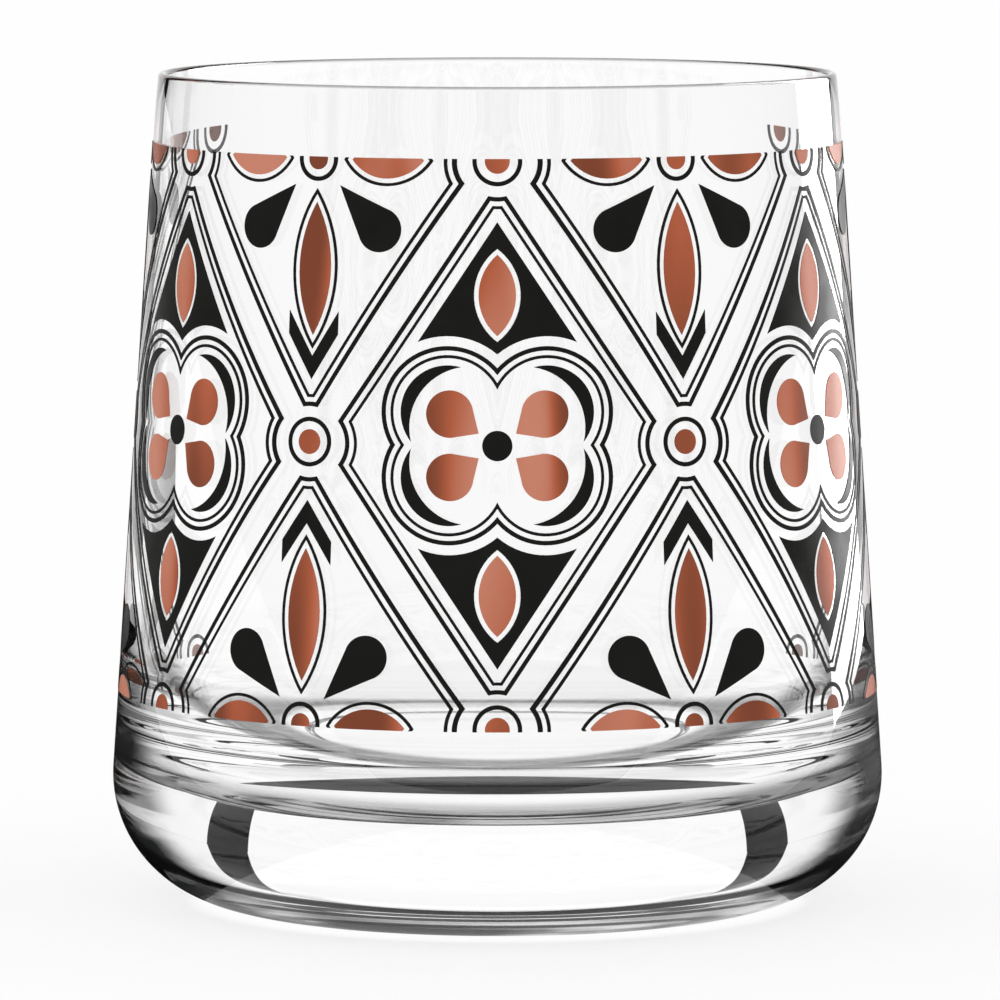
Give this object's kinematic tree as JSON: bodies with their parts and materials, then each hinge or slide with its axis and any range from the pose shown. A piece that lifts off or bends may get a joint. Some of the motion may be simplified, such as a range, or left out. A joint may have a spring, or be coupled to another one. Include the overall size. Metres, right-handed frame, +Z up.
{
  "type": "whisky glass",
  "caption": "Clear whisky tumbler with a wall that tapers to the rim, a rounded heel, a heavy base, and a fired black and copper lozenge print on its front; it holds a drink.",
  "frame": {"origin": "centre of the foot, on the plane that the glass stands on", "axes": "+Z up along the axis of the glass, -Y towards the front of the print, +X to the viewer's right"},
  "size_m": [0.09, 0.09, 0.097],
  "materials": {
    "glass": "clear colourless crystal glass, fire-polished",
    "black_enamel": "fired black screen-print enamel, glossy",
    "copper_enamel": "fired copper lustre print, satin metallic"
  },
  "bodies": {
    "root": {"glass_body": "glass", "black_lozenge_outlines": "black_enamel", "black_lozenge_inlines": "black_enamel", "black_leaf_outlines": "black_enamel", "black_drops": "black_enamel", "black_chevrons": "black_enamel", "black_eye_rings": "black_enamel", "black_quatrefoil_outlines": "black_enamel", "black_quatrefoil_inlines": "black_enamel", "black_crescents": "black_enamel", "black_hearts": "black_enamel", "black_arrowheads": "black_enamel", "black_roundel_rings": "black_enamel", "copper_leaves": "copper_enamel", "copper_eyes": "copper_enamel", "copper_petals": "copper_enamel", "copper_arrow_leaves": "copper_enamel", "copper_roundel_dots": "copper_enamel"}
  },
  "joints": []
}
